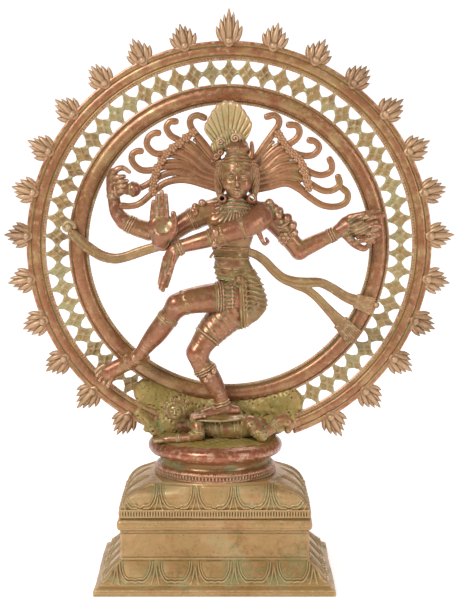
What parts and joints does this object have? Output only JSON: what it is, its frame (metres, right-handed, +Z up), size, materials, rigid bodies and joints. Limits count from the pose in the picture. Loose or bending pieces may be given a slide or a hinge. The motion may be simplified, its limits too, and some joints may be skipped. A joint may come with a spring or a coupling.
{
  "type": "nataraja statue",
  "caption": "Cast brass dancing figure in a ring of flames, standing on a crouching dwarf over an oval seat, a lotus tier and a sloped hollow plinth.",
  "frame": {"origin": "middle of the bounding box's footprint, on the surface that the plinth rests on", "axes": "+Z up, the figure faces -Y, +X to the viewer's right"},
  "size_m": [0.4144, 0.155, 0.528],
  "materials": {
    "base_brass": "dull tan patina with brown stains",
    "seat_brass": "red-brown lacquer with soft gloss",
    "ring_brass": "red-brown moulding, tan and green recesses",
    "lattice_brass": "rough, green in the engraved lines",
    "flame_brass": "dull pinkish brown over olive",
    "rough_brass": "rough casting with yellow-green verdigris",
    "figure_brass": "worn red-brown high places, green recesses",
    "hair_brass": "brown edges, olive grooves",
    "steel": "plain zinc-plated steel"
  },
  "bodies": {
    "root": {"plinth": "base_brass", "lotus_tier": "base_brass", "oval_seat": "seat_brass", "tie_rods": "steel", "clamp_bar": "steel", "clamp_washers": "steel", "clamp_nuts": "steel", "tenon_pins": "steel", "inner_ring": "ring_brass", "outer_ring": "ring_brass", "ring_foot_plate": "rough_brass", "ring_lattice": "lattice_brass", "torso": "figure_brass", "head": "figure_brass", "crest": "hair_brass", "hair_fan_right": "hair_brass", "hair_fan_left": "hair_brass", "front_right_arm": "figure_brass", "front_left_arm": "figure_brass", "rear_right_arm": "figure_brass", "rear_left_arm": "figure_brass", "hand_drum": "figure_brass", "hand_flame": "figure_brass", "waist_cloth": "figure_brass", "standing_leg": "figure_brass", "lifted_leg": "figure_brass", "waist_sash": "figure_brass", "arm_sash": "figure_brass", "dwarf_body": "rough_brass", "dwarf_head": "rough_brass", "flame_01": "flame_brass", "flame_02": "flame_brass", "flame_03": "flame_brass", "flame_04": "flame_brass", "flame_05": "flame_brass", "flame_06": "flame_brass", "flame_07": "flame_brass", "flame_08": "flame_brass", "flame_09": "flame_brass", "flame_10": "flame_brass", "flame_11": "flame_brass", "flame_12": "flame_brass", "flame_13": "flame_brass", "flame_14": "flame_brass", "flame_15": "flame_brass", "flame_16": "flame_brass", "flame_17": "flame_brass", "flame_18": "flame_brass", "flame_19": "flame_brass", "flame_20": "flame_brass", "flame_21": "flame_brass", "flame_22": "flame_brass", "flame_23": "flame_brass", "flame_24": "flame_brass", "flame_25": "flame_brass"}
  },
  "joints": []
}
